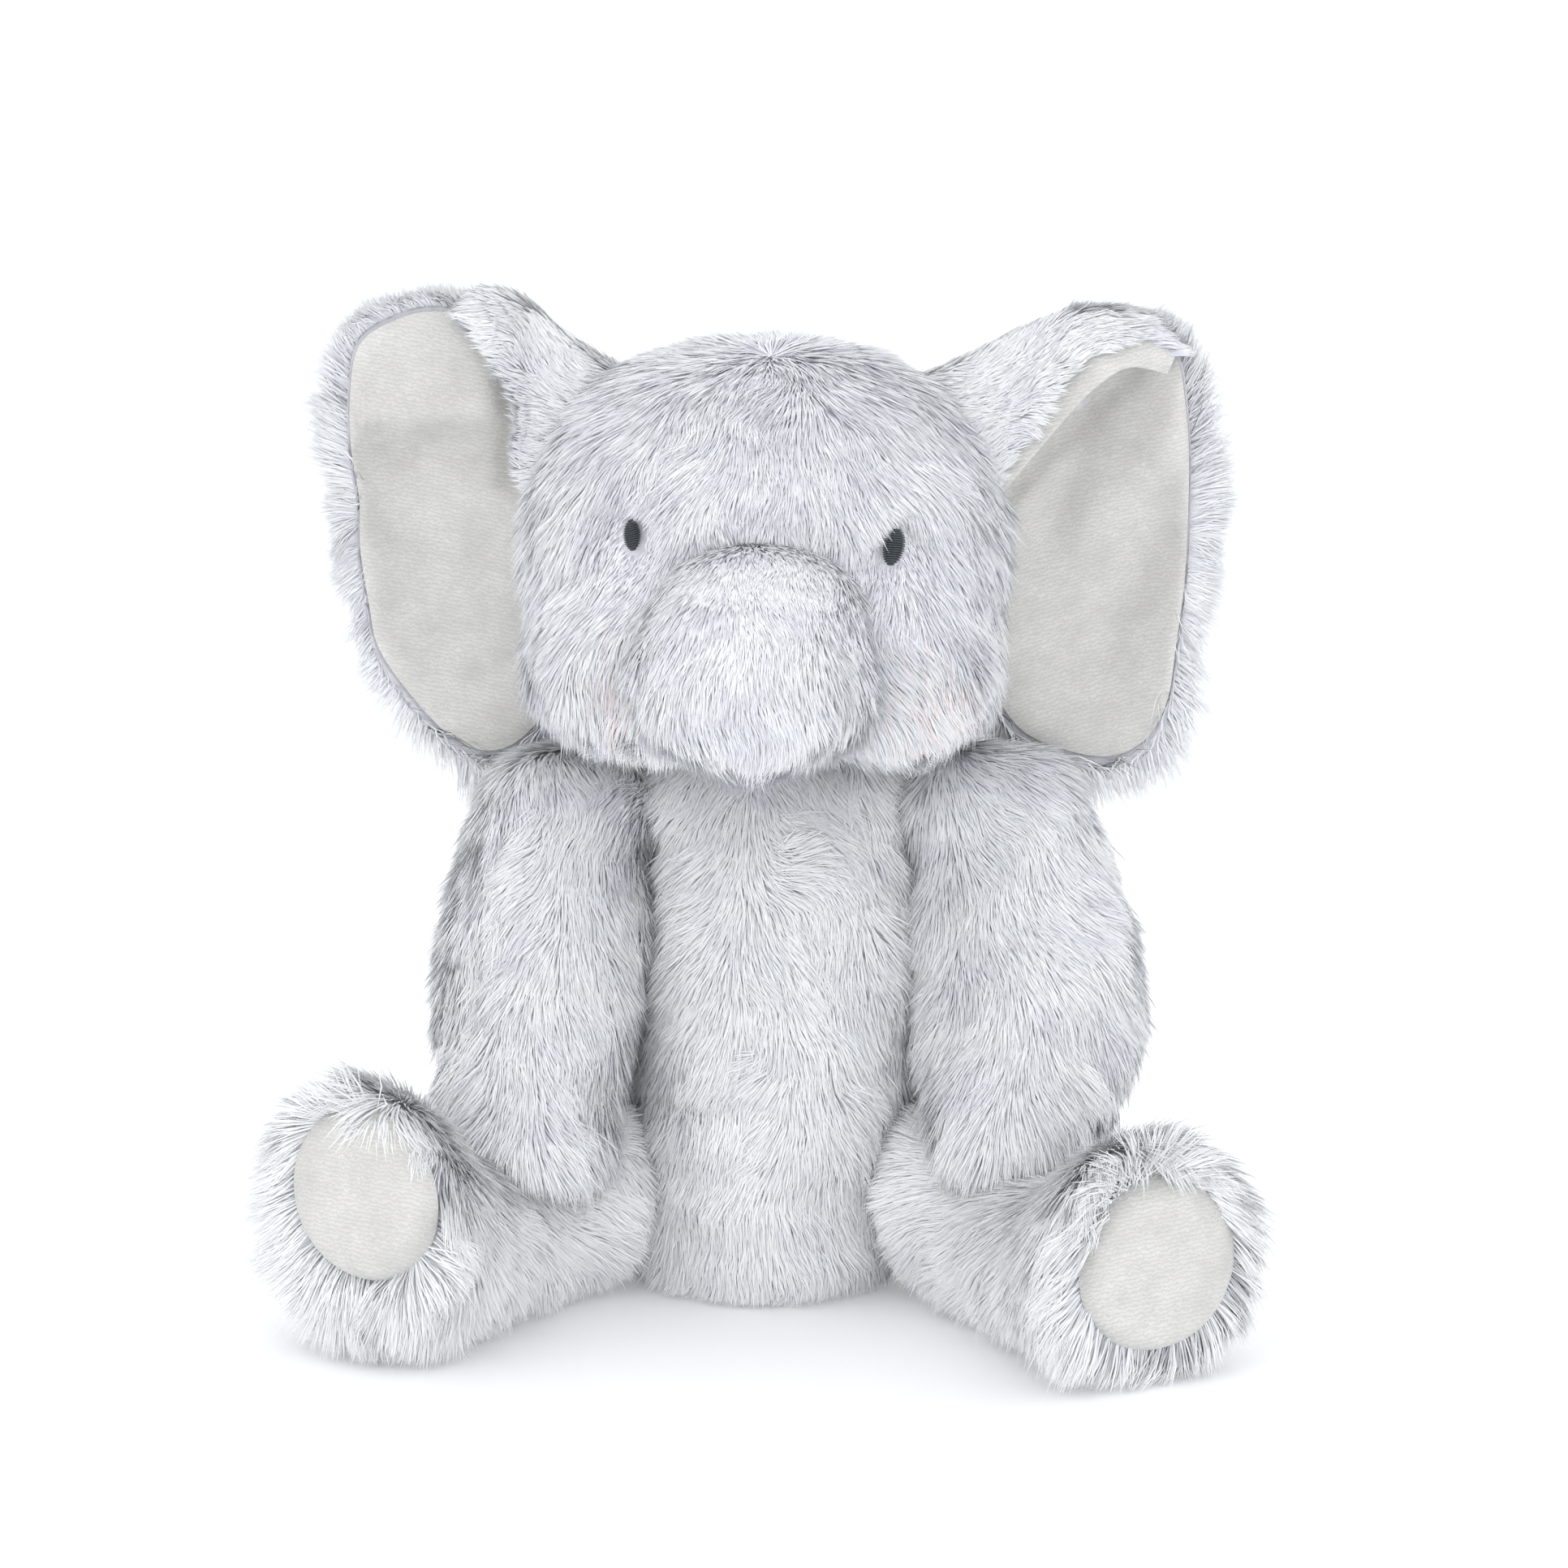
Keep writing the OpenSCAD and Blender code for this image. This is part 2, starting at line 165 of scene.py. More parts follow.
def makeGround():
    material, tree, shader = newMaterial("plushKnitGround", {
        "Roughness": ground["roughness"], "Specular IOR Level": ground["specular"]})
    place = addNode(tree, "ShaderNodeTexCoord")
    loops = addNode(tree, "ShaderNodeTexVoronoi", {"Scale": 1 / (ground["loopMm"] * mm)},
                    {"Vector": place.outputs["Object"]})
    tones = addNode(tree, "ShaderNodeValToRGB", None, {"Fac": loops.outputs["Distance"]})
    tones.color_ramp.elements[0].color = toLinear(ground["light"])
    tones.color_ramp.elements[1].color = toLinear(ground["shade"])
    raised = addNode(tree, "ShaderNodeBump", {"Strength": 0.5, "Distance": ground["bumpMm"] * mm},
                     {"Height": loops.outputs["Distance"]})
    tree.links.new(tones.outputs["Color"], shader.inputs["Base Color"])
    tree.links.new(raised.outputs["Normal"], shader.inputs["Normal"])
    return material


# The pile's fibres are dyed polyester, crimped and brushed: pale mauve-grey low down, silver
# white at the tips, with a soft sheen; the darker low tones are partly the dye and partly painted
# shade deep in the pile. A blade stands for a pinch of fibres lying together, and its tones sit in
# bands along it. Width is in mm; a piece holds no more blades than given here.
pile = {
    "tones": {"root": "#e3e3ea", "low": "#e9eaef", "middle": "#eff1f4", "upper": "#f4f6f8",
              "frost": "#fafbfc", "blush": "#f8e9e7"},
    "ior": 1.53, "specular": 0.3, "roughness": 0.62, "sheen": 0.25, "sheenRoughness": 0.4,
    "width": 0.315, "stray": 0.07, "strayLength": 1.2, "piece": 65000,
}


def makePile():
    made = []
    for tone, hexCode in pile["tones"].items():
        material, _, _ = newMaterial("pileFibre_" + tone, {
            "Base Color": toLinear(hexCode), "Roughness": pile["roughness"], "IOR": pile["ior"],
            "Specular IOR Level": pile["specular"], "Sheen Weight": pile["sheen"],
            "Sheen Roughness": pile["sheenRoughness"]})
        made.append(material)
    return made


# Short-pile velour, a warp knit cropped to under 1 mm: fine rows, a soft sheen at grazing angles
# and cloudy patches where a hand has stroked the pile the other way. The "row" colour is painted
# shade in the hollows between the rows.
velour = {
    "light": "#dddcd9", "deep": "#cbcac7", "row": "#b3b2ae",
    "rowMm": 0.85, "stitchMm": 0.7, "strokeMm": 9, "bumpMm": 0.25,
    "roughness": 0.85, "specular": 0.25, "sheen": 0.35, "sheenRoughness": 0.45,
}
waveUnit = 0.314  # metres from one band to the next in a Wave texture of scale 1


def makeVelour(name, turn):
    material, tree, shader = newMaterial(name, {
        "Roughness": velour["roughness"], "Specular IOR Level": velour["specular"],
        "Sheen Weight": velour["sheen"], "Sheen Roughness": velour["sheenRoughness"]})
    place = addNode(tree, "ShaderNodeTexCoord")
    turned = addNode(tree, "ShaderNodeMapping", {"Rotation": turn}, {"Vector": place.outputs["Object"]})
    along = {"Vector": turned.outputs["Vector"]}
    strokes = addNode(tree, "ShaderNodeTexNoise", {
        "Scale": 1 / (velour["strokeMm"] * mm), "Detail": 6, "Roughness": 0.62}, along)
    rows = addNode(tree, "ShaderNodeTexWave", {
        "Scale": waveUnit / (velour["rowMm"] * mm), "Distortion": 9.0, "Detail": 4,
        "Detail Scale": 2.2, "Detail Roughness": 0.65}, along,
        wave_type="BANDS", bands_direction="Z", wave_profile="SIN")
    tufts = addNode(tree, "ShaderNodeTexNoise", {"Scale": 1 / (velour["stitchMm"] * mm), "Detail": 2}, along)
    cloudy = addNode(tree, "ShaderNodeMapRange", {"From Min": 0.35, "From Max": 0.7},
                     {"Value": strokes.outputs["Fac"]})
    base = addNode(tree, "ShaderNodeValToRGB", None, {"Fac": cloudy.outputs["Result"]})
    base.color_ramp.elements[0].color = toLinear(velour["light"])
    base.color_ramp.elements[1].color = toLinear(velour["deep"])
    rowMix = addNode(tree, "ShaderNodeMath", None, {0: rows.outputs["Fac"], 1: tufts.outputs["Fac"]},
                     operation="MULTIPLY")
    # the hollows between the rows take the darker "row" colour: painted shade
    paintedRowShade = addNode(tree, "ShaderNodeMapRange", {
        "From Min": 0.05, "From Max": 0.42, "To Min": 0.42, "To Max": 0.0}, {"Value": rowMix.outputs["Value"]})
    shade = addNode(tree, "ShaderNodeMixRGB", {"Color2": toLinear(velour["row"])},
                    {"Fac": paintedRowShade.outputs["Result"], "Color1": base.outputs["Color"]})
    lifted = addNode(tree, "ShaderNodeBump", {"Strength": 0.4, "Distance": velour["bumpMm"] * mm},
                     {"Height": rowMix.outputs["Value"]})
    tree.links.new(shade.outputs["Color"], shader.inputs["Base Color"])
    tree.links.new(lifted.outputs["Normal"], shader.inputs["Normal"])
    return material


# Rayon embroidery thread: smooth filaments, so each satin stitch has a soft gloss along it
thread = {"dark": "#2b3034", "light": "#4b5156", "roughness": 0.38, "plyMm": 0.5}


def makeThread():
    material, tree, shader = newMaterial("embroideryThread", {
        "Roughness": thread["roughness"], "Anisotropic": 0.4})
    place = addNode(tree, "ShaderNodeTexCoord")
    twist = addNode(tree, "ShaderNodeTexNoise", {"Scale": 1 / (thread["plyMm"] * mm), "Detail": 2},
                    {"Vector": place.outputs["Object"]})
    tones = addNode(tree, "ShaderNodeValToRGB", None, {"Fac": twist.outputs["Fac"]})
    tones.color_ramp.elements[0].color = toLinear(thread["dark"])
    tones.color_ramp.elements[1].color = toLinear(thread["light"])
    tree.links.new(tones.outputs["Color"], shader.inputs["Base Color"])
    return material


# Woven satin ribbon, the usual care label: long floats give a fine diagonal rib and a soft gloss
ribbon = {"light": "#f4f4f2", "deep": "#e2e2df", "ribMm": 0.8}


def makeRibbon():
    material, tree, shader = newMaterial("satinRibbon", {"Roughness": 0.42, "Sheen Weight": 0.2})
    place = addNode(tree, "ShaderNodeTexCoord")
    ribs = addNode(tree, "ShaderNodeTexWave", {"Scale": waveUnit / (ribbon["ribMm"] * mm)},
                   {"Vector": place.outputs["Object"]}, bands_direction="DIAGONAL")
    tones = addNode(tree, "ShaderNodeValToRGB", None, {"Fac": ribs.outputs["Fac"]})
    tones.color_ramp.elements[0].color = toLinear(ribbon["light"])
    tones.color_ramp.elements[1].color = toLinear(ribbon["deep"])
    tree.links.new(tones.outputs["Color"], shader.inputs["Base Color"])
    return material


groundCloth = makeGround()
pileTones = makePile()
print("finishes ready")


# ---- Stuffed skins: the knitted ground of each limb, swelled over its filling
# Each skin is its nodes and lumps (place, half sizes) in one; "sink" makes room for the pile,
# "fill" is how firmly it is stuffed and "cap" how far the filling may push it. All in mm.

skins = {
    "torso": {
        "nodes": ["torso_front_panel", "torso_back_panel", "seat_panel", "torso_stuffing", "pellet_pouch"],
        "sink": 1.4, "voxel": 4.5, "fill": 0.75, "cap": 2.5,
        "lumps": [((1, 5, 104), (38, 20, 12))]},  # shoulders
    "head": {
        "nodes": ["head_left_panel", "head_right_panel", "head_gusset", "head_stuffing"],
        "sink": 2.2, "voxel": 4.5, "fill": 0.85, "cap": 2.0,
        # chin, jowls, cheeks and the bridge over the trunk
        "lumps": [((-20, -43, 126), (12, 11, 8)), ((24, -30, 132), (20, 20, 18)),
                  ((-26, -29, 134), (20, 20, 18)), ((30, -8, 131), (18, 24, 19)),
                  ((-31, -8, 132), (19, 24, 19)), ((-1, -36, 162), (22, 13.5, 12))]},
    "trunk": {
        "nodes": ["trunk_top_panel", "trunk_under_panel", "trunk_stuffing"],
        "sink": 1.8, "voxel": 3.5, "fill": 0.8, "cap": 1.5,
        "lumps": [((-1.5, -51, 148), (22.5, 20, 14.5)), ((9, -52, 134), (13, 13, 15))]},
    "left_arm": {
        "nodes": ["left_arm_outer_panel", "left_arm_inner_panel", "left_arm_stuffing"],
        "sink": 1.5, "voxel": 4.0, "fill": 0.7, "cap": 2.0,
        "lumps": [((41, -3, 101), (15, 14, 13)), ((36, -4, 76), (10, 14, 16)),
                  ((39, -10, 55), (11, 13, 17)), ((51, -27, 44), (18, 13, 16)),
                  ((50, -32, 37), (16, 12, 11))]},
    "right_arm": {
        "nodes": ["right_arm_outer_panel", "right_arm_inner_panel", "right_arm_stuffing"],
        "sink": 1.5, "voxel": 4.0, "fill": 0.7, "cap": 2.0,
        "lumps": [((-36, -3, 101), (15, 14, 13)), ((-31, -4, 76), (9, 14, 16)),
                  ((-49, -26, 44), (18, 13, 16)), ((-48, -31, 37), (17, 12, 11))]},
    "left_leg": {
        "nodes": ["left_leg_outer_panel", "left_leg_inner_panel", "left_leg_stuffing"],
        "sink": 1.5, "voxel": 4.0, "fill": 0.75, "cap": 1.8,
        "lumps": [((38, -17, 23), (17, 20, 19))]},
    "right_leg": {
        "nodes": ["right_leg_outer_panel", "right_leg_inner_panel", "right_leg_stuffing"],
        "sink": 1.5, "voxel": 4.0, "fill": 0.75, "cap": 1.8,
        "lumps": [((-38, -11, 23), (17, 20, 19))]},
    "tail": {"nodes": ["tail"], "sink": 2.2, "voxel": 1.6, "fill": 0.6, "cap": 0.5},
}
floorZone, floorKeep = 14, 0.45  # below this height in mm a skin gives up only this share of its sink
filling = {"frames": 20, "pressure": 4, "quality": 4}


def applied(piece):
    # the piece's mesh with its modifiers applied
    bpy.context.view_layer.update()
    mesh = bpy.data.meshes.new_from_object(piece.evaluated_get(bpy.context.evaluated_depsgraph_get()))
    piece.modifiers.clear()
    old, piece.data = piece.data, mesh
    bpy.data.meshes.remove(old)
    return mesh


def keepLargest(bm):
    bm.verts.ensure_lookup_table()
    seen, groups = set(), []
    for start in bm.verts:
        if start.index in seen:
            continue
        group, stack = [], [start]
        seen.add(start.index)
        while stack:
            vert = stack.pop()
            group.append(vert)
            for edge in vert.link_edges:
                other = edge.other_vert(vert)
                if other.index not in seen:
                    seen.add(other.index)
                    stack.append(other)
        groups.append(group)
    groups.sort(key=len)
    bmesh.ops.delete(bm, geom=[v for g in groups[:-1] for v in g], context="VERTS")


def makeSkin(body, spec):
    bm = bmesh.new()
    for node in spec["nodes"]:
        bm.from_mesh(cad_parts[node].data)
    for place, size in spec.get("lumps", []):
        here = Matrix.Translation(at(*place)) @ Matrix.Diagonal((*[s * mm for s in size], 1))
        bmesh.ops.create_icosphere(bm, subdivisions=3, radius=1, matrix=here)
    skin = newPiece(body + "_skin", meshFrom(bm, body + "_skin"), groundCloth)
    remesh = skin.modifiers.new("Remesh", "REMESH")
    remesh.mode = "VOXEL"
    remesh.voxel_size = spec["voxel"] * mm
    bm = bmesh.new()
    bm.from_mesh(applied(skin))
    keepLargest(bm)
    for _ in range(2):
        bmesh.ops.smooth_vert(bm, verts=bm.verts, factor=0.5,
                              use_axis_x=True, use_axis_y=True, use_axis_z=True)
    bm.normal_update()
    for vert in bm.verts:
        way = vert.normal.copy()
        if vert.co.z < floorZone * mm and way.z < 0:
            way.z *= floorKeep
        vert.co -= way * spec["sink"] * mm
    bm.to_mesh(skin.data)
    bm.free()
    swell(skin, spec)
    smooth = skin.modifiers.new("Smooth", "SUBSURF")
    smooth.levels = smooth.render_levels = 1
    mesh = applied(skin)
    mesh.polygons.foreach_set("use_smooth", [True] * len(mesh.polygons))
    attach(skin, body)
    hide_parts(*spec["nodes"])
    return skin


def swell(skin, spec):
    # the filling's pressure rounds the cloth, with no point moving further than the cap
    before = points(skin.data)
    cloth = skin.modifiers.new("Filling", "CLOTH")
    cloth.settings.use_pressure = True
    cloth.settings.uniform_pressure_force = filling["pressure"]
    cloth.settings.effector_weights.gravity = 0
    cloth.settings.quality = filling["quality"]
    cloth.point_cache.frame_start = 1
    cloth.point_cache.frame_end = filling["frames"]
    for number in range(1, filling["frames"] + 1):
        scene.frame_set(number)
    mesh = applied(skin)
    move = points(mesh) - before
    reach = np.linalg.norm(move, axis=1, keepdims=True)
    move *= np.minimum(1, spec["cap"] * mm / np.maximum(reach, 1e-9))
    mesh.vertices.foreach_set("co", (before + move).astype(np.float32).ravel())
    scene.frame_set(1)


skinOf = {body: makeSkin(body, spec) for body, spec in skins.items()}
print("skins ready")


# ---- Pile: every fibre is a tapered blade, grown from a skin, combed, and drawn together in locks

def makeBlade():
    # one flat blade of two lengths, its tip drawn to a point
    bm = bmesh.new()
    bmesh.ops.create_grid(bm, x_segments=1, y_segments=2, size=1)
    tip = [v for v in bm.verts if v.co.y > 0.9]
    bmesh.ops.pointmerge(bm, verts=tip, merge_co=(0, 1, 0))
    bm.verts.index_update()
    across = np.array([v.co.x for v in bm.verts])
    along = np.array([(v.co.y + 1) / 2 for v in bm.verts])
    faces = sorted(([v.index for v in f.verts] for f in bm.faces), key=lambda f: along[f].mean())
    bm.free()
    return across, along, faces


bladeAcross, bladeAlong, bladeFaces = makeBlade()
bladeTaper = np.interp(bladeAlong, [0, 0.5, 1], [0.9, 1.0, 0])


def scatter(mesh, density, share, rng):
    # seeded points over a skin, as many to each face as its area and share ask for
    mesh.calc_loop_triangles()
    co = points(mesh)
    tri = np.empty(len(mesh.loop_triangles) * 3, np.int32)
    mesh.loop_triangles.foreach_get("vertices", tri)
    tri = tri.reshape(-1, 3)
    normals = np.empty(len(co) * 3, np.float32)
    mesh.vertices.foreach_get("normal", normals)
    normals = normals.reshape(-1, 3).astype(float)
    a, b, c = co[tri[:, 0]], co[tri[:, 1]], co[tri[:, 2]]
    area = np.linalg.norm(np.cross(b - a, c - a), axis=1) / 2
    mid = (a + b + c) / 3
    facing = unit(normals[tri].mean(axis=1))
    want = area / (mm * mm) * density * share(inMm(mid), facing)
    count = int(want.sum())
    steps = (np.arange(count) + rng.random(count)) / count * want.sum()
    pick = np.minimum(np.searchsorted(np.cumsum(want), steps), len(tri) - 1)
    r1, r2 = np.sqrt(rng.random(count)), rng.random(count)
    w = np.stack([1 - r1, r1 * (1 - r2), r1 * r2], axis=1)[:, :, None]
    return (co[tri[pick]] * w).sum(axis=1), unit((normals[tri[pick]] * w).sum(axis=1))


def inMm(p):
    return (p - np.array(middle)) / mm


def turned(v, axis, angle):
    angle = angle[:, None]
    onAxis = axis * (v * axis).sum(axis=1, keepdims=True)
    return v * np.cos(angle) + np.cross(axis, v) * np.sin(angle) + onAxis * (1 - np.cos(angle))


def growPile(name, body, mesh, spec, comb, trim, share, seed):
    rng = np.random.default_rng(seed)
    root, out = scatter(mesh, spec["density"], share, rng)
    count = len(root)
    here = inMm(root)
    way = comb(here, out)
    way = unit(way - out * (way * out).sum(axis=1, keepdims=True))
    swirl = spec["drift"] * ripple(root, 26, seed + 1) + spec["drift"] * 0.6 * ripple(root, 9, seed + 2)
    way = turned(way, out, swirl + rng.normal(0, 0.16, count))
    length = spec["length"] * trim(here) * (1 + 0.09 * ripple(root, 12, seed + 3))
    length = length * rng.uniform(0.72, 1.1, count) * mm
    loose = rng.random(count) < pile["stray"]  # strays are longer and stand more upright
    length[loose] *= pile["strayLength"]
    leanRoot = np.radians(spec["lean"][0] + rng.normal(0, 6, count))
    leanTip = np.radians(spec["lean"][1] + rng.normal(0, 7, count) - 14 * loose
                         + 4 * ripple(root, 9, seed + 4))
    # what faces up is brushed down flatter
    brushed = spec.get("brushed", 0.6) * smoothstep(0.15, 0.75, out[:, 2])
    leanRoot += brushed * (radians(80) - leanRoot)
    leanTip += brushed * (radians(86) - leanTip)
    path = [root]
    for step in (0.25, 0.78):
        lean = (leanRoot + (leanTip - leanRoot) * step)[:, None]
        heading = np.cos(lean) * out + np.sin(lean) * way
        heading[:, 2] -= spec["droop"] * step
        path.append(path[-1] + unit(heading) * length[:, None] / 2)
    path = np.stack(path, axis=1)

    # locks: each fibre leans in towards the leader nearest to it
    leaders = rng.choice(count, max(count // spec["lock"], 8), replace=False)
    tree = KDTree(len(leaders))
    for k, i in enumerate(leaders):
        tree.insert(root[i], k)
    tree.balance()
    lead = np.array([tree.find(p)[1] for p in root])
    pull = spec["pull"] * rng.uniform(0.5, 1.15, count)
    for k, s in enumerate((0.5, 1), start=1):
        w = (pull * s)[:, None]
        target = path[leaders[lead], k] + (root - root[leaders[lead]]) * (1 - 0.75 * s)
        path[:, k] = path[:, k] * (1 - w) + target * w
    path[:, :, 2] = np.maximum(path[:, :, 2], 0.3 * mm)

    # the blade's flat side faces out from the skin, more or less
    heading = unit(path[:, 2] - path[:, 0])
    side = unit(np.cross(heading, out))
    side = turned(side, heading, rng.normal(0, 0.4, count))
    row = np.rint(bladeAlong * 2).astype(int)
    width = pile["width"] * rng.uniform(0.75, 1.2, count) * mm / 2
    across = (bladeAcross * bladeTaper)[None, :, None]
    blade = path[:, row] + side[:, None, :] * across * width[:, None, None]

    # packed fibres scatter light as one soft surface, so a blade is lit mostly along the skin's normal
    own = unit(out - heading * (out * heading).sum(axis=1, keepdims=True))
    lit = unit(out * (1 - spec["relief"]) + own * spec["relief"])
    if "sheer" in spec:
        # a fringe is thin enough to be lit through, from in front and from behind alike
        lit = unit(lit * (1 - spec["sheer"]) + np.array([0, 1, 0]) * np.sign(own[:, 1:2]) * spec["sheer"])

    # tones run in bands along the blade, the lower band darker as partly painted shade deep in the pile, and
    # drift from lock to lock
    tone = 0.42 * rng.normal(0, 1, len(leaders))[lead] + 0.32 * rng.normal(0, 1, count)
    # the coat's "light" is painted light and shade: it lifts the tones low on the body and lowers them on the
    # head and trunk
    tone = tone + 0.45 * ripple(root, 15, seed + 5) + spec.get("light", 0)
    lower, upper = np.digitize(tone, [-0.7, 0.1, 0.9]), 1 + np.digitize(tone, [-1.1, -0.3, 0.6])
    slots = np.stack([lower, upper], axis=1)
    for place, size, strength in spec.get("blush", []):
        near = np.exp(-(((here - np.array(place)) / size) ** 2).sum(axis=1))
        pinked = rng.random(count) < near * strength
        slots[pinked, 1] = list(pile["tones"]).index("blush")

    order = np.argsort(here @ np.array(spec.get("split", (1.0, 0, 0))))
    parts = max(1, -(-count // pile["piece"]))
    for number, chosen in enumerate(np.array_split(order, parts)):
        partName = f"{name}_{number + 1}" if parts > 1 else name
        mesh = bladesMesh(partName, blade[chosen], slots[chosen], lit[chosen])
        piece = newPiece(partName, mesh, *pileTones)
        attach(piece, body)
    return count


def bladesMesh(name, blade, slots, lit):
    # copies of the one blade, each in its own place
    count, each = blade.shape[:2]
    sizes = [len(f) for f in bladeFaces]
    corners = np.concatenate([np.array(f) for f in bladeFaces])
    starts = np.cumsum([0] + sizes[:-1])
    mesh = bpy.data.meshes.new(name)
    mesh.vertices.add(count * each)
    mesh.vertices.foreach_set("co", blade.astype(np.float32).ravel())
    mesh.loops.add(count * len(corners))
    number = np.arange(count)[:, None]
    mesh.loops.foreach_set("vertex_index", (number * each + corners[None]).astype(np.int32).ravel())
    mesh.polygons.add(count * len(sizes))
    mesh.polygons.foreach_set("loop_start", (number * len(corners) + starts[None]).astype(np.int32).ravel())
    mesh.polygons.foreach_set("material_index", slots.astype(np.int32).ravel())
    mesh.polygons.foreach_set("use_smooth", np.ones(count * len(sizes), bool))
    mesh.update(calc_edges=True)
    mesh.normals_split_custom_set_from_vertices(np.repeat(lit, each, axis=0))
    return mesh


def everywhere(q, n):
    return np.ones(len(q))


def evenly(q):
    return np.ones(len(q))


# ---- Ears: a plush back and a velour lining, cupped, with the top corner folded over at the head

ears = {
    "left": {
        "side": 1, "y": 3, "middle": (67, 152), "turn": (0, 0.25, 0), "flat": (46, 93),
        "rim": [(46, 170), (50, 180), (58, 188), (67, 194), (76, 196), (83, 191), (85, 182),
                (86, 171), (86, 157), (85.5, 144), (84, 131), (82.5, 120), (78.5, 112), (71, 108),
                (61, 109.5), (52, 114), (46, 124), (43, 140), (43, 155)],
        "cup": 9, "lean": -0.05,
        "creases": [((49, 163), (74, 189), 3.2, 5), ((66, 178), (56, 150), 5, 3),
                    ((80, 152), (66, 126), 6, 2.4), ((84, 178), (70, 158), 6, -2.6)],
        "hood": {
            "back": [(30, 4, 186), (40, 6, 190), (50, 6, 195), (60, 5, 199), (69, 4, 200.5),
                     (77, 3, 199), (83, 2, 193)],
            "edge": [(40, -12, 158), (48, -11, 166), (54.5, -10, 173.5), (60.5, -9, 180.5),
                     (66.5, -8, 186.5), (73, -5.5, 190), (81, 0, 188)],
            "bulge": 4, "flat": (58, 44), "under": (0.5, 8, 6),
            "band": [0.95, 0.88, 0.7, 0.58, 0.5, 0.4, 0.3],
        },
    },
    "right": {
        "side": -1, "y": 7, "middle": (-65, 155), "turn": (0, -0.2, 0), "flat": (46, 94),
        "rim": [(-46, 170), (-49, 185), (-57, 197), (-67, 200), (-76, 198), (-83, 193), (-85, 183),
                (-85, 172), (-83.5, 161), (-83.5, 151), (-82, 140), (-80, 130), (-73, 119.5),
                (-66, 112), (-58.5, 108.5), (-51, 111), (-45, 120), (-42, 138), (-42, 155)],
        "cup": 7, "lean": -0.04,
        "creases": [((-82, 178), (-54, 180), 4.5, -4), ((-82, 170.5), (-52, 172), 4, 3.4),
                    ((-60, 200), (-51, 186), 3.2, 5), ((-51, 186), (-52, 166), 3.4, 5),
                    ((-80, 158), (-60, 150), 6, 1.8)],
        "hood": {
            "back": [(-26, 4, 185), (-34, 7, 190), (-42, 8, 195.5), (-48.5, 8, 201), (-54, 7.5, 203.5),
                     (-58, 7, 203), (-61, 6.5, 200.5)],
            "edge": [(-40, -9, 157), (-46, -8, 164), (-49, -6.5, 171), (-48.5, -5.5, 179),
                     (-50, -4, 186), (-54.5, -1, 193), (-60.5, 4, 199)],
            "bulge": 3.5, "flat": (46, 40), "under": (3, 7, 3),
            "band": [1.2] * 7,
        },
    },
}
earCloth = {"grid": 46, "thick": 2.2, "backGrow": 1.03, "backOff": 4.6, "backFollow": 0.6}
# the corner's grid runs from down the ear's back (v below 0) to its free edge (1) and under it
fold = {"columns": 36, "rows": 30, "start": -0.4, "run": 1.65, "turnUnder": 0.25}


def creaseDepth(x, z, creases):
    # how far soft folds push the cloth back, each a line with its width and depth in mm
    depth = 0.0
    for start, end, width, deep in creases:
        run = Vector(end) - Vector(start)
        rel = Vector((x, z)) - Vector(start)
        t = min(max(rel.dot(run) / run.length_squared, 0), 1)
        depth += deep * 2.718 ** -(((rel - run * t).length / width) ** 2)
    return depth


def earSheet(spec, grow, back, follow):
    # a grid drawn round into a disc, then onto the ear's outline and cup
    cx, cz = spec["middle"]
    steps = 240
    rim = [(x, z, 0) for x, z in spec["rim"]]
    outline = [curveThrough(rim, k / steps, closed=True) for k in range(steps)]
    polar = sorted((np.arctan2(p.y - cz, p.x - cx), ((p.x - cx) ** 2 + (p.y - cz) ** 2) ** 0.5)
                   for p in outline)
    angles, reaches = np.array(polar).T
    bm = bmesh.new()
    bmesh.ops.create_grid(bm, x_segments=earCloth["grid"], y_segments=earCloth["grid"], size=1)
    for vert in bm.verts:
        dx, dy, share = onDisc(vert)
        angle = np.arctan2(dy, dx)
        reach = np.interp(angle, angles, reaches, period=2 * pi) * share * grow
        x, z = cx + reach * cos(angle), cz + reach * sin(angle)
        y = spec["y"] + spec["cup"] * (1 - share ** 2.2) + spec["lean"] * (z - 155)
        y += back * (1 - 0.6 * share ** 8)
        y += follow * creaseDepth(x, z, spec["creases"]) * (1 - share ** 8) + 1.8 * share ** 16
        vert.co = at(x, y, z)
    return bm


def hoodSheet(spec):
    # the folded corner, from the ear's top round to its free edge, which turns under
    hood = spec["hood"]
    bm = bmesh.new()
    bmesh.ops.create_grid(bm, x_segments=fold["columns"], y_segments=fold["rows"], size=1)
    for vert in bm.verts:
        u, v = (vert.co.x + 1) / 2, fold["start"] + (vert.co.y + 1) / 2 * fold["run"]
        start, end = curveThrough(hood["back"], u), curveThrough(hood["edge"], u)
        t = min(max(v, 0), 1)
        place = start.lerp(end, t)
        place.y -= hood["bulge"] * sin(pi * t ** 0.8) * (1 - 0.35 * u)
        if v < 0:
            # over the top and down to the ear's back
            f = v / fold["start"]
            place += Vector((0, 7 * sin(pi / 2 * f), -17 * f * f))
        if v > 1:
            f = (v - 1) / fold["turnUnder"]
            under = Vector(hood["under"])
            tucked = Vector((under.x * f * f, under.y * (f ** 1.4), under.z * f * f))
            place += tucked + Vector((0, -1.2, -0.6)) * sin(pi * f) * 0.8
        vert.co = at(*place)
    return bm


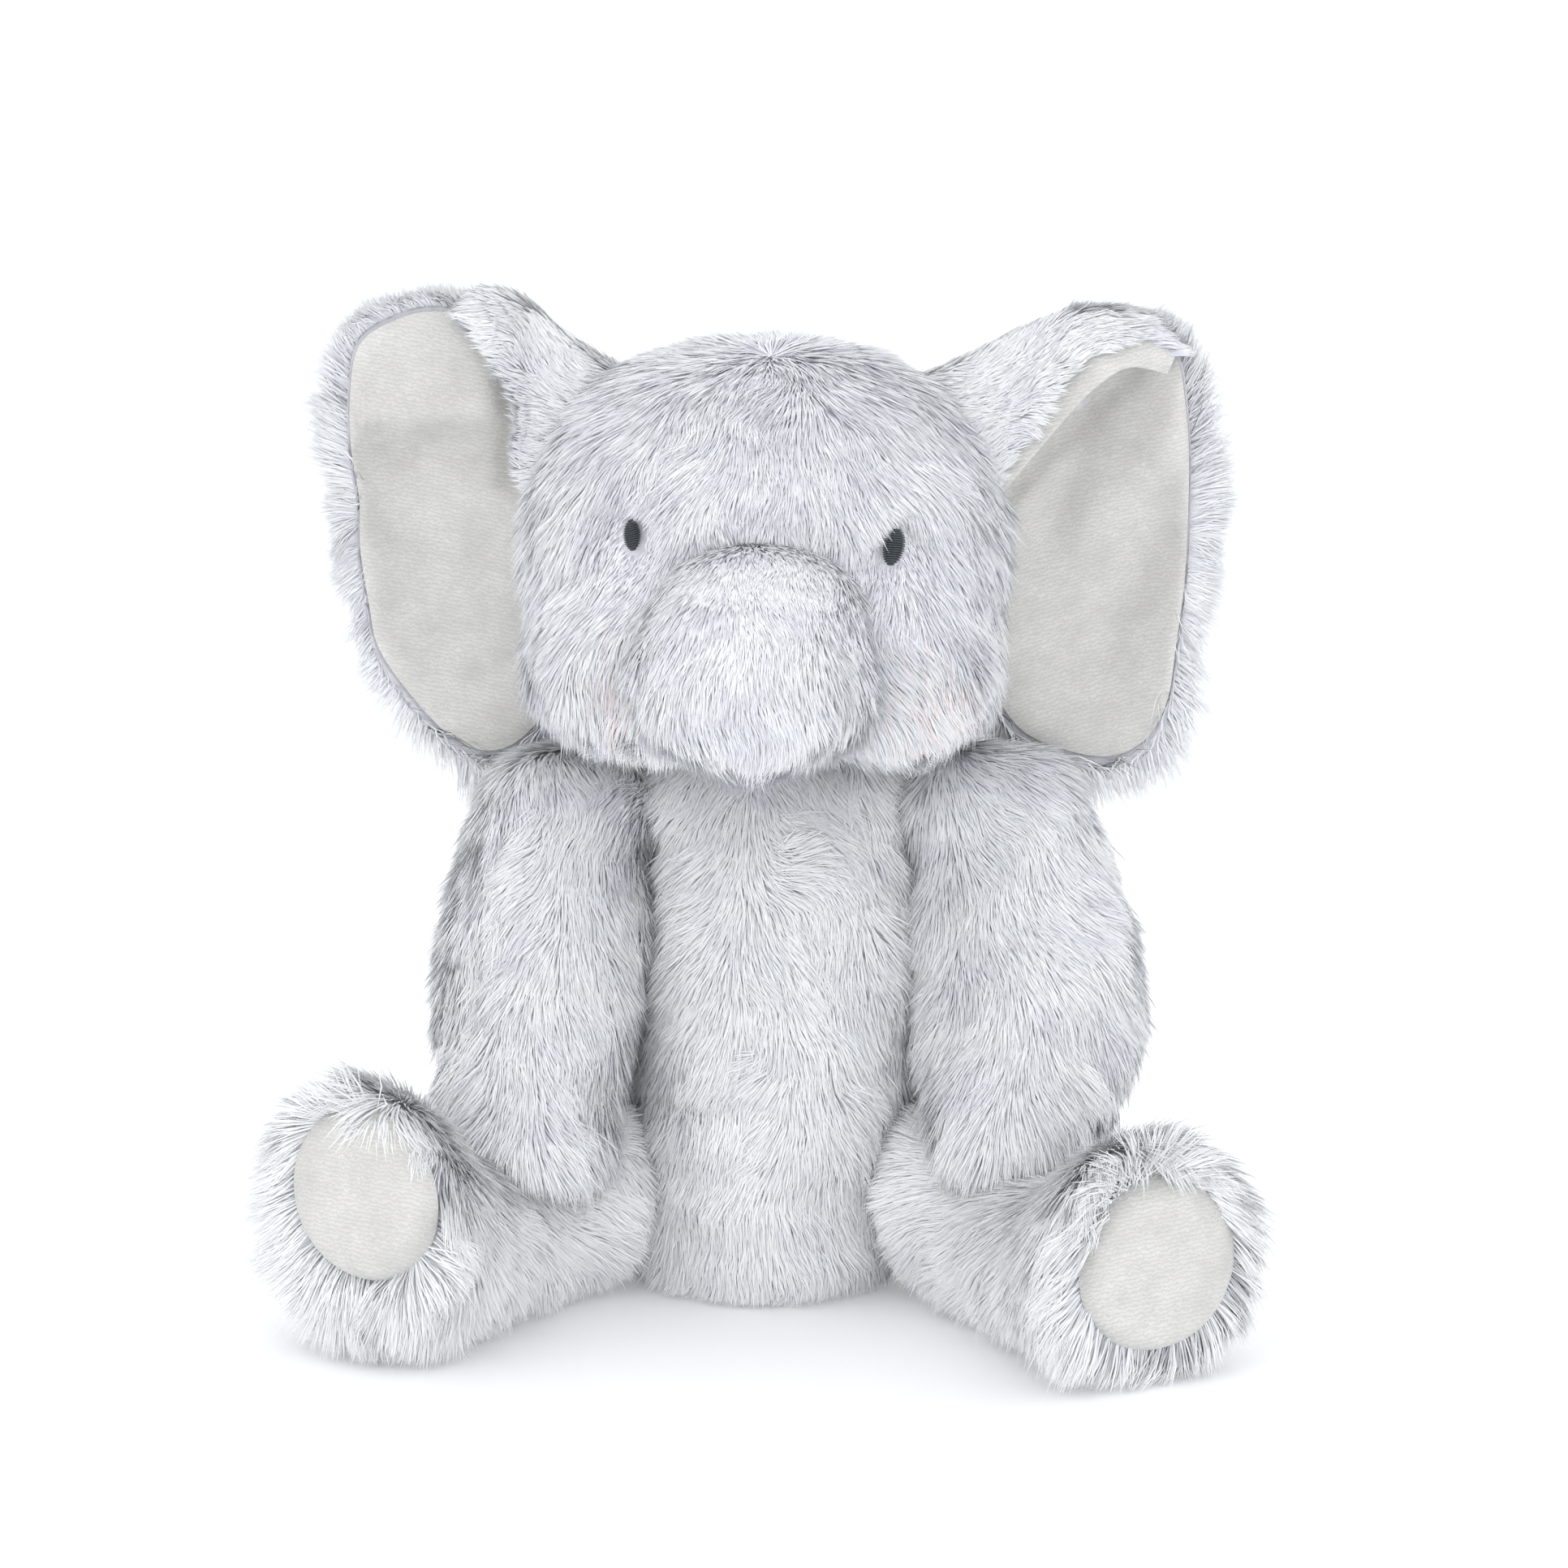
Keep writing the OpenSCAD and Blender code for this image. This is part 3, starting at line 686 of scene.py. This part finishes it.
def makeEar(side, spec):
    body = side + "_ear"
    velourCloth = makeVelour(side + "EarVelour", spec["turn"])
    bm = earSheet(spec, earCloth["backGrow"], earCloth["backOff"], earCloth["backFollow"])
    bmesh.ops.solidify(bm, geom=bm.faces[:], thickness=earCloth["thick"] * mm)
    bmesh.ops.recalc_face_normals(bm, faces=bm.faces[:])
    back = newPiece(body + "_back_cloth", meshFrom(bm, body + "_back_cloth"), groundCloth)
    bm = earSheet(spec, 1.0, 0, 1)
    faceTo(bm, Vector((0, -1, 0)))
    lining = newPiece(body + "_velour_lining", meshFrom(bm, body + "_velour_lining"), velourCloth)
    bm = hoodSheet(spec)
    faceTo(bm, Vector((0, -1, 0)))
    # past the band the corner shows its velour side
    band = spec["hood"]["band"]
    bm.faces.ensure_lookup_table()
    for index, face in enumerate(bm.faces):
        u = (index % fold["columns"] + 0.5) / fold["columns"]
        v = fold["start"] + (index // fold["columns"] + 0.5) / fold["rows"] * fold["run"]
        face.material_index = int(v > np.interp(u, np.linspace(0, 1, len(band)), band))
    hood = newPiece(body + "_folded_corner", meshFrom(bm, body + "_folded_corner"), groundCloth, velourCloth)
    for piece in (back, lining, hood):
        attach(piece, body)
    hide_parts(body + "_back")
    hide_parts(body + "_lining")
    return back, hood


earPieces = {side: makeEar(side, spec) for side, spec in ears.items()}
print("ears ready")


# ---- Foot pads: velour ovals stretched over the soles

pads = {
    "left": {"axis": radians(29), "side": 1, "wide": 17.6, "tall": 17.6, "dome": 2.6,
             "shift": (0, -3.8)},
    "right": {"axis": radians(36), "side": -1, "wide": 18.0, "tall": 17.6, "dome": 2.6,
              "shift": (3.2, 2)},
}
padPlace = {}


def makePad(side, spec):
    low, high = (Vector(v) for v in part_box(side + "_foot_pad"))
    centre = (low + high) / 2
    ahead = Vector((spec["side"] * sin(spec["axis"]), -cos(spec["axis"]), 0))
    across = Vector((cos(spec["axis"]), spec["side"] * sin(spec["axis"]), 0))
    centre += (across * spec["shift"][0] + Vector((0, 0, spec["shift"][1]))) * mm
    padPlace[side] = (centre, ahead, across)
    bm = bmesh.new()
    bmesh.ops.create_grid(bm, x_segments=28, y_segments=28, size=1)
    for vert in bm.verts:
        dx, dy, share = onDisc(vert)
        rise = spec["dome"] * (1 - share ** 2) - 4 * share ** 12  # the rim tucks into the fur
        spot = across * dx * spec["wide"] + Vector((0, 0, 1)) * dy * spec["tall"] + ahead * rise
        vert.co = centre + spot * mm
    faceTo(bm, ahead)
    cloth = makeVelour(side + "SoleVelour", (0.3, 0.2 * spec["side"], 0))
    pad = newPiece(side + "_sole_pad", meshFrom(bm, side + "_sole_pad"), cloth)
    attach(pad, side + "_leg")
    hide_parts(side + "_foot_pad")


for side, spec in pads.items():
    makePad(side, spec)
print("foot pads ready")


# ---- Eyes: satin stitch, threads laid side by side across an oval

eyes = {
    "left": {"place": (24.2, 0, 158.5), "wide": 4.9, "tall": 7.2, "tilt": radians(14),
             "threads": 16, "proud": 2.2},
    "right": {"place": (-25.6, 0, 160.5), "wide": 4.0, "tall": 6.0, "tilt": radians(-10),
              "threads": 14, "proud": 1.6},
}
threadCloth = makeThread()
eyePlace = {}


def makeEye(side, spec):
    # a straight line from in front finds the place on the head
    start = at(spec["place"][0], -80, spec["place"][2])
    _, spot, facing, _ = skinOf["head"].ray_cast(start, Vector((0, 1, 0)))
    eyePlace[side] = spot
    up = Vector((sin(spec["tilt"]), 0, cos(spec["tilt"])))
    up = (up - facing * up.dot(facing)).normalized()
    across = up.cross(facing).normalized()
    bm = bmesh.new()
    half = spec["threads"] / 2
    for k in range(spec["threads"]):
        t = (k + 0.5 - half) / half
        reach = spec["wide"] / 2 * (1 - t * t) ** 0.5
        made = bmesh.ops.create_uvsphere(bm, u_segments=10, v_segments=8, radius=1)
        thick = spec["tall"] / spec["threads"] * 0.72
        place = spot + facing * (spec["proud"] * mm) + up * t * spec["tall"] / 2 * mm
        frameOf = Matrix((across, up, facing)).transposed().to_4x4()
        size = Matrix.Diagonal((reach * mm, thick * mm, (0.5 + 0.5 * (1 - t * t)) * mm, 1))
        shape = Matrix.Translation(place) @ frameOf @ Matrix.Rotation(0.12, 4, "Z") @ size
        bmesh.ops.transform(bm, matrix=shape, verts=made["verts"])
    eye = newPiece(side + "_stitched_eye", meshFrom(bm, side + "_stitched_eye"), threadCloth)
    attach(eye, "head")
    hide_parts(side + "_eye")


for side, spec in eyes.items():
    makeEye(side, spec)
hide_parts("neck_stuffing")
print("eyes ready")


# ---- Care label: a blank ribbon folded in two and caught in the back seam

label = {"long": 17, "wide": 12, "thick": 0.35, "fold": 0.9}


def makeLabel():
    low, high = (Vector(v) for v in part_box("care_label"))
    centre = (low + high) / 2
    outward = Vector((-0.47, 0.88, 0))
    across = Vector((0.88, 0.47, 0))
    bm = bmesh.new()
    bmesh.ops.create_grid(bm, x_segments=6, y_segments=40, size=1)
    for vert in bm.verts:
        u, v = vert.co.x, vert.co.y
        bend = v * 1.25
        reach = label["long"] * (1 - abs(bend))
        if abs(bend) <= 0.08:
            # the fold itself is round
            reach = label["long"] * (0.92 + 0.05 * cos(bend * 18))
        gap = label["fold"] * (1 if bend > 0 else -1) * min(abs(bend) * 8, 1)
        rise = gap - 1 - 0.03 * reach * reach / 3
        vert.co = (centre + outward * (reach - 9) * mm + across * u * (label["wide"] / 2) * mm
                   + Vector((0, 0, 1)) * rise * mm)
    bmesh.ops.recalc_face_normals(bm, faces=bm.faces[:])
    piece = newPiece("blank_care_label", meshFrom(bm, "blank_care_label"), makeRibbon())
    wall = piece.modifiers.new("Thickness", "SOLIDIFY")
    wall.thickness = label["thick"] * mm
    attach(piece, "torso")
    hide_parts("care_label")


makeLabel()


# ---- The coat of each part
# length and density are in mm and blades to the mm2, lean in degrees at root and tip, "lock" in
# blades to a lock; "light" shifts the tone as painted light on the torso, legs and ears and painted
# shade on the head and trunk; "brushed" flattens what faces up.

coats = {
    "head": {
        "length": 9, "density": 6.2, "light": -0.7, "lean": (50, 76), "relief": 0.22,
        "drift": 0.3, "droop": 0.1, "lock": 22, "pull": 0.36,
        "blush": [((-27, -45, 133), (8, 14, 8), 0.32), ((31, -45, 131), (9, 14, 8), 0.32)]},
    "trunk": {
        "length": 8, "density": 6.6, "brushed": 0.9, "light": -0.4, "lean": (50, 76), "relief": 0.22,
        "drift": 0.28, "droop": 0.12, "lock": 20, "pull": 0.34},
    "torso": {
        "length": 9, "density": 6.0, "light": 0.8, "lean": (50, 75), "relief": 0.22,
        "drift": 0.45, "droop": 0.12, "lock": 22, "pull": 0.36, "split": (0, 1.0, 0)},
    "arm": {
        "length": 9.5, "density": 6.3, "lean": (48, 74), "relief": 0.22,
        "drift": 0.4, "droop": 0.14, "lock": 22, "pull": 0.36},
    "leg": {
        "length": 10, "density": 6.3, "light": 1.1, "lean": (44, 72), "relief": 0.22,
        "drift": 0.35, "droop": 0.1, "lock": 22, "pull": 0.34},
    "ear": {
        "length": 9, "density": 3.9, "brushed": 0, "sheer": 0.7, "light": 0.3, "lean": (48, 80),
        "relief": 0.22, "drift": 0.2, "droop": 0.16, "lock": 20, "pull": 0.4},
    "hood": {
        "length": 5.5, "density": 8.0, "light": 0.15, "lean": (42, 76), "relief": 0.22,
        "drift": 0.3, "droop": 0.1, "lock": 26, "pull": 0.5},
    "tail": {
        "length": 6, "density": 5, "lean": (34, 70), "relief": 0.22,
        "drift": 0.3, "droop": 0.2, "lock": 26, "pull": 0.6},
}


def combHead(q, n):
    return unit(q - np.array([1, -15, 199])) + np.array([0, -0.12, -0.22])


def trimHead(q):
    trim = np.ones(len(q))
    for side in eyePlace:
        spot = inMm(np.array(eyePlace[side]))
        gap = np.linalg.norm((q - spot) * np.array([1, 0.6, 0.8]), axis=1)
        trim *= 1 - 0.76 * (1 - smoothstep(3.5, 10, gap))
    bridge = np.linalg.norm((q - np.array([-1, -50, 160])) / np.array([25, 20, 10]), axis=1)
    return trim * (1 - 0.35 * (1 - smoothstep(0.5, 1.3, bridge)))


def shareHead(q, n):
    share = np.ones(len(q))
    for side in eyePlace:
        spot = inMm(np.array(eyePlace[side]))
        rel = (q - spot) / np.array([3.2, 8, 4.5])
        share *= smoothstep(0.75, 1.15, np.linalg.norm(rel, axis=1))
    behindTrunk = np.linalg.norm((q - np.array([-1, -50, 143])) / np.array([14, 14, 12]), axis=1)
    return share * smoothstep(0.8, 1.2, behindTrunk) * np.where(q[:, 1] > 12, 0.75, 1)


def combTrunk(q, n):
    return unit(q - np.array([-1, -38, 170])) + np.array([0.05, 0, -0.2])


def trimTrunk(q):
    return 0.55 + 0.45 * smoothstep(0, 22, 158 - q[:, 2])


def shareTrunk(q, n):
    return smoothstep(-42, -48, q[:, 1])


def combTorso(q, n):
    rel = q - np.array([-2.5, -28, 88])
    near = np.exp(-((np.linalg.norm(rel, axis=1) / 18) ** 2))[:, None]
    outward = np.stack([q[:, 0] / 90, 0 * q[:, 0], 0 * q[:, 0]], axis=1)
    return np.array([0, -0.1, -1]) + outward + 1.15 * near * unit(rel)


def trimTorso(q):
    # a soft crease across the belly, where the seated body gives
    crease = np.exp(-((q[:, 2] - 45.5 - 0.06 * q[:, 0]) / 2.6) ** 2)
    crease = crease * smoothstep(20, 8, np.abs(q[:, 0] + 9)) * (q[:, 1] < 0)
    return 1 - 0.45 * crease


def shareTorso(q, n):
    underneath = smoothstep(-0.95, -0.6, n[:, 2] + 0.02 * np.maximum(q[:, 2] - 8, 0) * 3)
    neck = 1 - 0.6 * smoothstep(111, 115, q[:, 2])
    return (0.15 + 0.85 * underneath) * neck * np.where(q[:, 1] > 16, 0.75, 1)


def combArm(sign):
    def comb(q, n):
        return np.array([0.28 * sign, -0.15, -1]) + 0.15 * n
    return comb


def combLeg(side):
    centre, ahead, _ = padPlace[side]
    spot, front = inMm(np.array(centre)), np.array(ahead)

    def comb(q, n):
        rel = q - spot
        along = rel @ front
        radial = unit(rel - along[:, None] * front)
        foot = smoothstep(-26, -4, along)[:, None]
        return radial * 0.65 + np.array([0, 0, -0.45]) + front * (0.8 * foot - 0.45)
    return comb


def trimLeg(side):
    centre, ahead, _ = padPlace[side]
    spot, front = inMm(np.array(centre)), np.array(ahead)

    def trim(q):
        foot = smoothstep(-24, -6, (q - spot) @ front)
        return 0.85 + 0.4 * foot
    return trim


def trimArm(q):
    return 0.95 + 0.25 * smoothstep(60, 42, q[:, 2])


def shareLeg(side):
    centre, ahead, across = padPlace[side]
    spot, front, wide = inMm(np.array(centre)), np.array(ahead), np.array(across)

    def share(q, n):
        rel = q - spot
        u = (rel @ wide) / 17
        v = rel[:, 2] / 16.8
        inside = (np.hypot(u, v) < 0.96) & (rel @ front > -9)
        low = smoothstep(-0.95, -0.6, n[:, 2] + 0.06 * np.maximum(q[:, 2] - 8, 0))
        return np.where(inside, 0, 1) * (0.15 + 0.85 * low)
    return share


def combEar(side):
    cx, cz = ears[side]["middle"]
    source = np.array([cx - 12 * ears[side]["side"], 12, cz])

    def comb(q, n):
        return unit((q - source) * np.array([1, 0.15, 1])) + np.array([0, 0, -0.12])
    return comb


def trimEar(side):
    cx, cz = ears[side]["middle"]

    def trim(q):
        r = np.hypot((q[:, 0] - cx) / 21, (q[:, 2] - cz) / 44)
        fringe = 0.8 + 0.5 * smoothstep(0.7, 1.05, r) + 0.3 * smoothstep(140, 114, q[:, 2])
        return fringe * (1 - 0.4 * smoothstep(184, 196, q[:, 2]))
    return trim


def shareEar(side):
    spec = ears[side]
    cx, cz = spec["middle"]

    def share(q, n):
        radial = unit((q - np.array([cx, 0, cz])) * np.array([1, 0, 1]))
        edgeOn = (n * radial).sum(axis=1)
        r = np.hypot((q[:, 0] - cx) / 21, (q[:, 2] - cz) / 44)
        keep = np.where((n[:, 1] > 0.1) | ((r > 0.86) & (n[:, 1] > -0.55)), 1.0, 0)
        nearHead = np.where(q[:, 0] * spec["side"] < 44, 0.3, 1)
        return keep * nearHead * (1 + 7.5 * smoothstep(0.4, 0.8, edgeOn))
    return share


def combHood(sign):
    def comb(q, n):
        return np.array([0.8 * sign, -0.2, 0.25]) + 0 * q
    return comb


def combTail(q, n):
    return np.array([0, 0.1, -1]) + 0 * q


def plushSide(mesh):
    # a copy of the folded corner without its velour faces
    plush = mesh.copy()
    cut = bmesh.new()
    cut.from_mesh(plush)
    bmesh.ops.delete(cut, geom=[f for f in cut.faces if f.material_index == 1], context="FACES")
    cut.to_mesh(plush)
    cut.free()
    return plush


def growCoats():
    grow = {}
    grow["head"] = growPile("head_pile", "head", skinOf["head"].data, coats["head"],
                            combHead, trimHead, shareHead, 11)
    grow["trunk"] = growPile("trunk_pile", "trunk", skinOf["trunk"].data, coats["trunk"],
                             combTrunk, trimTrunk, shareTrunk, 23)
    grow["torso"] = growPile("torso_pile", "torso", skinOf["torso"].data, coats["torso"],
                             combTorso, trimTorso, shareTorso, 37)
    grow["tail"] = growPile("tail_pile", "tail", skinOf["tail"].data, coats["tail"],
                            combTail, evenly, everywhere, 41)
    for side, sign, seed in (("left", 1, 53), ("right", -1, 71)):
        arm, leg, ear = side + "_arm", side + "_leg", side + "_ear"
        back, hood = earPieces[side]
        grow[side + " arm"] = growPile(arm + "_pile", arm, skinOf[arm].data, coats["arm"],
                                       combArm(sign), trimArm, everywhere, seed)
        grow[side + " leg"] = growPile(leg + "_pile", leg, skinOf[leg].data, coats["leg"],
                                       combLeg(side), trimLeg(side), shareLeg(side), seed + 1)
        grow[side + " ear"] = growPile(ear + "_pile", ear, back.data, coats["ear"],
                                       combEar(side), trimEar(side), shareEar(side), seed + 2)
        plush = plushSide(hood.data)
        grow[side + " corner"] = growPile(ear + "_corner_pile", ear, plush, coats["hood"],
                                          combHood(sign), evenly, everywhere, seed + 3)
        bpy.data.meshes.remove(plush)
    for name, count in grow.items():
        print("pile grown:", name, count)
    print("fibres in all:", sum(grow.values()))


growCoats()


# ---- Studio: white sweep, broad soft light from above and in front, long lens

studio = {
    "target": (3.5, 0, 103.5), "distance": 1.1, "elevation": radians(11), "lens": 123,
    "floor": "#f6f7f8", "floorGlow": 0.19, "sky": "#fdfdff", "skyStrength": 1.05,
    # each lamp's place and size in mm, watts and colour
    "lamps": [((-420, -620, 760), 900, 0.8, "#fffdfa"), ((80, -1250, 60), 1100, 4.6, "#fbfcff"),
              ((60, 260, 900), 700, 0.4, "#f6f9ff")],
}


def makeStudio():
    target = at(*studio["target"])
    camera = bpy.data.cameras.new("Camera")
    camera.lens = studio["lens"]
    camera.sensor_width = 36
    camera.clip_end = 50
    tripod = bpy.data.objects.new("Camera", camera)
    scene.collection.objects.link(tripod)
    back = Vector((0, -cos(studio["elevation"]), sin(studio["elevation"])))
    tripod.location = target + back * studio["distance"]
    tripod.rotation_euler = (target - tripod.location).to_track_quat("-Z", "Y").to_euler()
    scene.camera = tripod

    bm = bmesh.new()
    bmesh.ops.create_grid(bm, x_segments=2, y_segments=2, size=14)
    material, tree, shader = newMaterial("whiteSweepPaper", {"Specular IOR Level": 0.1})
    place = addNode(tree, "ShaderNodeTexCoord")
    fleck = addNode(tree, "ShaderNodeTexNoise", {"Scale": 40}, {"Vector": place.outputs["Object"]})
    shade = addNode(tree, "ShaderNodeMapRange", {"To Min": 0.78, "To Max": 0.84}, {"Value": fleck.outputs["Fac"]})
    tree.links.new(shade.outputs["Result"], shader.inputs["Roughness"])
    shader.inputs["Base Color"].default_value = toLinear(studio["floor"])
    shader.inputs["Emission Color"].default_value = toLinear(studio["sky"])
    shader.inputs["Emission Strength"].default_value = studio["floorGlow"]
    floor = newPiece("studio_floor", meshFrom(bm, "studio_floor"), material)

    for number, (place, size, power, colour) in enumerate(studio["lamps"]):
        lamp = bpy.data.lights.new(f"Softbox{number + 1}", "AREA")
        lamp.shape = "DISK"
        lamp.size = size * mm
        lamp.energy = power
        lamp.color = toLinear(colour)[:3]
        holder = bpy.data.objects.new(lamp.name, lamp)
        scene.collection.objects.link(holder)
        holder.location = at(*place)
        holder.rotation_euler = (at(0, 0, 90) - holder.location).to_track_quat("-Z", "Y").to_euler()

    world = bpy.data.worlds.new("Studio")
    world.use_nodes = True
    scene.world = world
    sky = world.node_tree.nodes["Background"]
    sky.inputs["Color"].default_value = toLinear(studio["sky"])
    sky.inputs["Strength"].default_value = studio["skyStrength"]
    scene.view_settings.view_transform = "Standard"


makeStudio()
print("studio ready")
